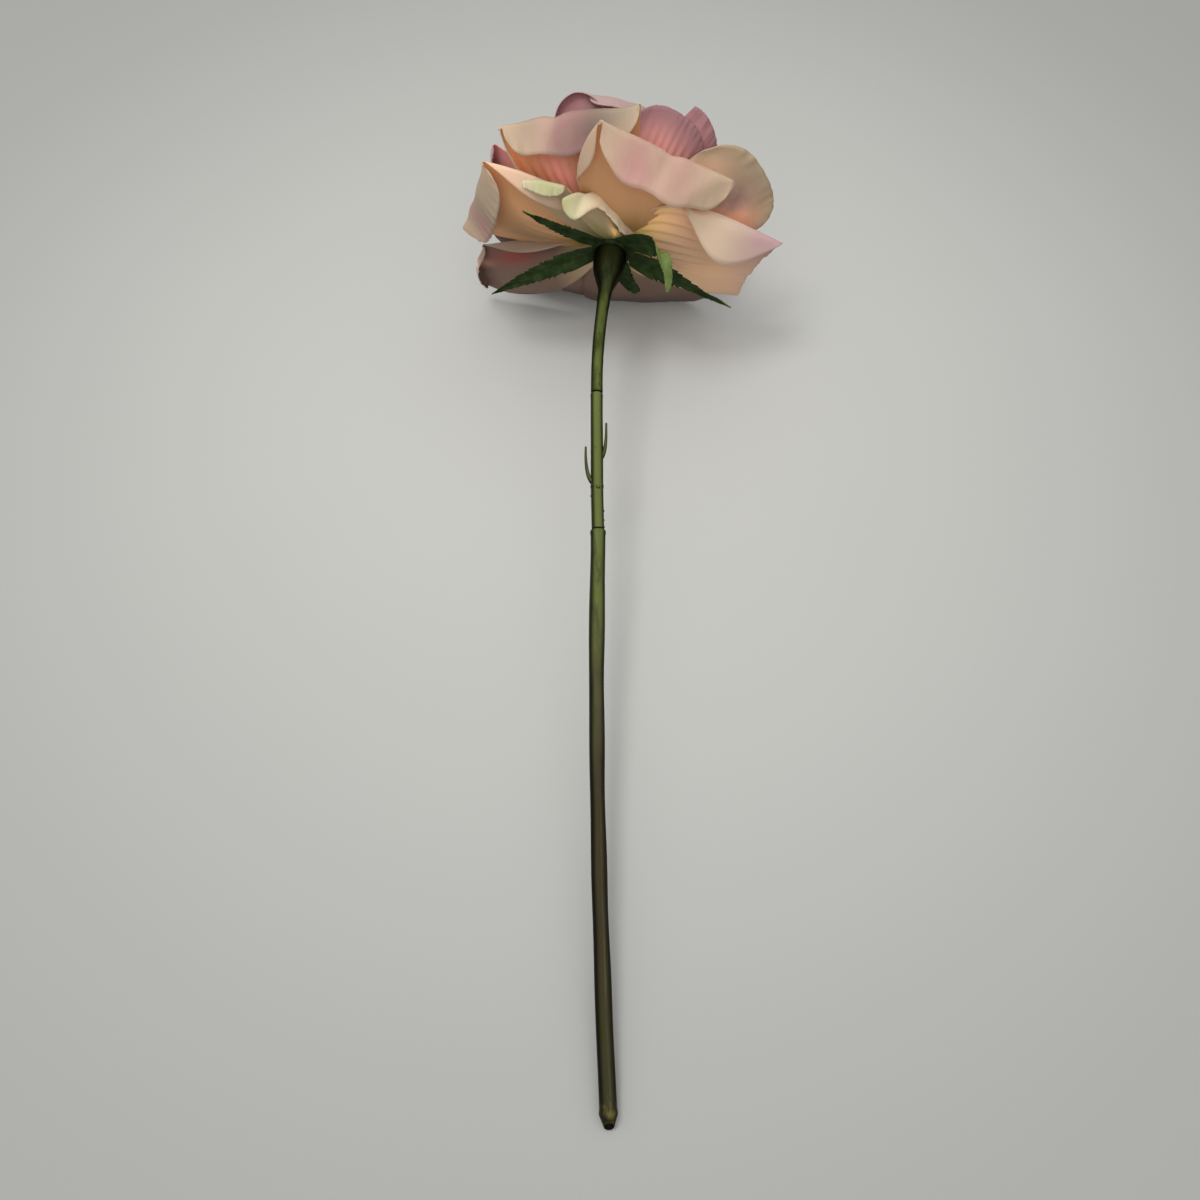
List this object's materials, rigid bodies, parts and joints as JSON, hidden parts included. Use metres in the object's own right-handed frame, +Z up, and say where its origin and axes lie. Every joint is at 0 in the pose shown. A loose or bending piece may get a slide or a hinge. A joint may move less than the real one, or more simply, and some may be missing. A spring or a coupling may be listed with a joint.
{
  "type": "artificial silk rose on a stem",
  "caption": "Artificial silk rose lying down: layered petals with rolled rims, serrated sepals, a moulded calyx and a two-part plastic stem round a steel wire.",
  "frame": {"origin": "middle of the footprint on the surface that the rose lies on", "axes": "+Y from the stem's cut end to the bloom, +Z up from the surface"},
  "size_m": [0.1158, 0.3324, 0.1006],
  "materials": {
    "petal_silk": "dyed cloth, shaded from gold at the root to pink at the rim",
    "sepal_cloth": "dyed stiff cloth",
    "calyx_plastic": "satin moulded",
    "stem_green_plastic": "satin moulded",
    "stem_brown_plastic": "satin moulded, tinted purplish brown over green",
    "steel_wire": "drawn wire"
  },
  "bodies": {
    "root": {"bloom": "petal_silk", "sepals": "sepal_cloth", "calyx": "calyx_plastic", "stem_upper": "stem_green_plastic", "stem_lower": "stem_brown_plastic", "wire_core": "steel_wire"}
  },
  "joints": []
}
